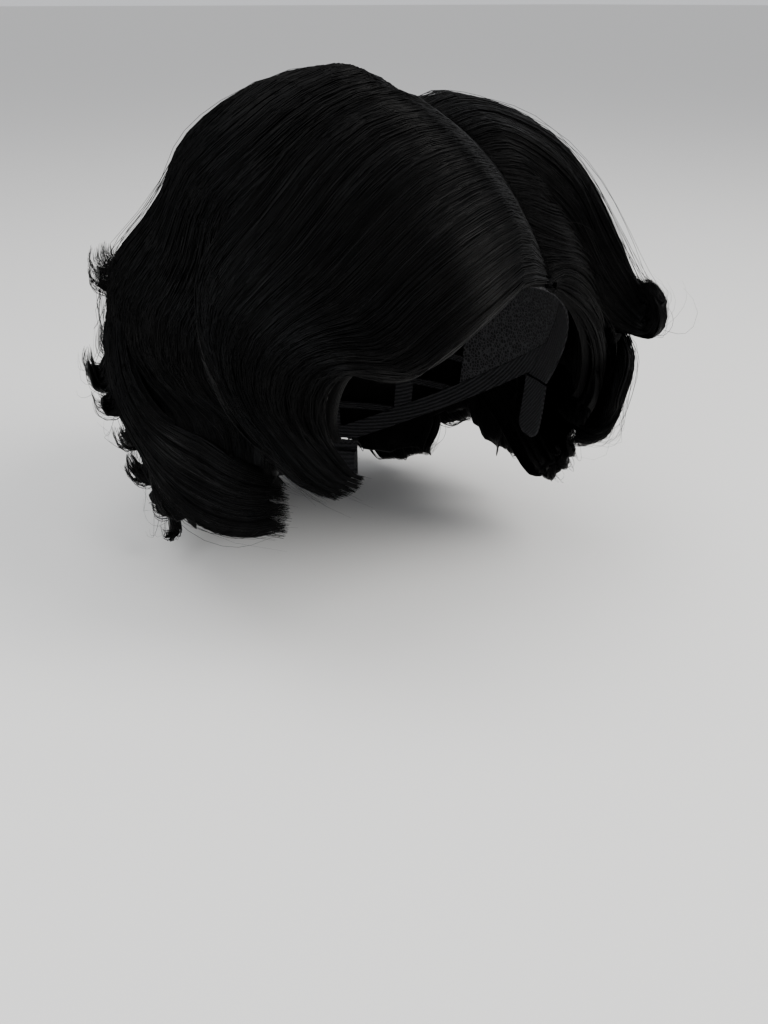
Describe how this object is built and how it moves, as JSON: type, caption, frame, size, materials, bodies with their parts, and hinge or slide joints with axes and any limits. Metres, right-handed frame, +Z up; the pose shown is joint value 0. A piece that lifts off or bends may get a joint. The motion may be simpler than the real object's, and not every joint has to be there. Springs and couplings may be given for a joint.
{
  "type": "costume wig",
  "caption": "Short side-parted black costume wig with set waves and flipped curls on a wefted open cap with ear tabs and nape adjusters.",
  "frame": {"origin": "centre of the head opening at the head's band line, where the wearer's head sits", "axes": "+Z up out of the crown, -Y the way the face looks, +X the wearer's left"},
  "size_m": [0.2074, 0.2291, 0.1989],
  "materials": {
    "hair_fibre": "glossy fine synthetic fibre, black",
    "cap_net": "fine knotted net, black",
    "elastic_tape": "ribbed elastic, matt black",
    "weft_header": "stitched weft header, black thread",
    "parting_skin": "thin matt parting skin, dark",
    "loop_tape": "woven tape with thread loops, black",
    "stay_plastic": "springy plastic stay, black",
    "hook_plastic": "moulded plastic, black"
  },
  "bodies": {
    "cap": {"fringe_sweep": "hair_fibre", "right_crown_sweep": "hair_fibre", "left_front_sweep": "hair_fibre", "left_crown_sweep": "hair_fibre", "back_crown": "hair_fibre", "right_temple_wave": "hair_fibre", "right_side_wave": "hair_fibre", "left_side_wave": "hair_fibre", "right_side_fall": "hair_fibre", "left_side_fall": "hair_fibre", "right_back_wave": "hair_fibre", "left_back_wave": "hair_fibre", "right_cheek_flip": "hair_fibre", "left_flip_curl": "hair_fibre", "left_lower_curl": "hair_fibre", "left_neck_curl": "hair_fibre", "left_side_roll": "hair_fibre", "right_side_roll": "hair_fibre", "left_back_roll": "hair_fibre", "right_back_roll": "hair_fibre", "left_lower_roll": "hair_fibre", "right_lower_roll": "hair_fibre", "back_lower_roll": "hair_fibre", "left_nape_roll": "hair_fibre", "right_nape_roll": "hair_fibre", "crown_net": "cap_net", "left_side_panel": "cap_net", "right_side_panel": "cap_net", "front_band": "elastic_tape", "nape_band": "elastic_tape", "left_ear_edge_tape": "elastic_tape", "right_ear_edge_tape": "elastic_tape", "left_adjuster_strap": "elastic_tape", "right_adjuster_strap": "elastic_tape", "back_ribbon_1": "elastic_tape", "back_ribbon_2": "elastic_tape", "back_ribbon_3": "elastic_tape", "back_ribbon_4": "elastic_tape", "back_ribbon_5": "elastic_tape", "weft_track_1": "weft_header", "weft_track_2": "weft_header", "weft_track_3": "weft_header", "weft_track_4": "weft_header", "weft_track_5": "weft_header", "weft_track_6": "weft_header", "weft_track_7": "weft_header", "nape_weft_lower": "weft_header", "nape_weft_upper": "weft_header", "parting_skin": "parting_skin", "left_loop_tape": "loop_tape", "right_loop_tape": "loop_tape"},
    "left_ear_tab_body": {"left_ear_tab": "elastic_tape", "left_ear_tab_stay": "stay_plastic"},
    "right_ear_tab_body": {"right_ear_tab": "elastic_tape", "right_ear_tab_stay": "stay_plastic"},
    "left_adjuster": {"left_strap_end": "elastic_tape"},
    "right_adjuster": {"right_strap_end": "elastic_tape"},
    "left_hook": {"left_adjuster_hook": "hook_plastic"},
    "right_hook": {"right_adjuster_hook": "hook_plastic"}
  },
  "joints": [
    {"name": "left_ear_tab_bend", "type": "hinge", "parent": "cap", "child": "left_ear_tab_body", "pos_m": [0.0731, -0.0315, -0.0085], "axis": [0.2582, 0.9661, 0], "range_deg": [0, 30]},
    {"name": "right_ear_tab_bend", "type": "hinge", "parent": "cap", "child": "right_ear_tab_body", "pos_m": [-0.0731, -0.0315, -0.0085], "axis": [0.2582, -0.9661, 0], "range_deg": [0, 30]},
    {"name": "left_strap_travel", "type": "hinge", "parent": "cap", "child": "left_adjuster", "pos_m": [0, 0.03, -0.067], "axis": [0, 0, 1], "range_deg": [0, 24]},
    {"name": "right_strap_travel", "type": "hinge", "parent": "cap", "child": "right_adjuster", "pos_m": [0, 0.03, -0.067], "axis": [0, 0, -1], "range_deg": [0, 24]},
    {"name": "left_hook_swing", "type": "hinge", "parent": "left_adjuster", "child": "left_hook", "pos_m": [0.02645, 0.06921, -0.067], "axis": [0, 0, 1], "range_deg": [0, 70]},
    {"name": "right_hook_swing", "type": "hinge", "parent": "right_adjuster", "child": "right_hook", "pos_m": [-0.02645, 0.06921, -0.067], "axis": [0, 0, -1], "range_deg": [0, 70]}
  ]
}
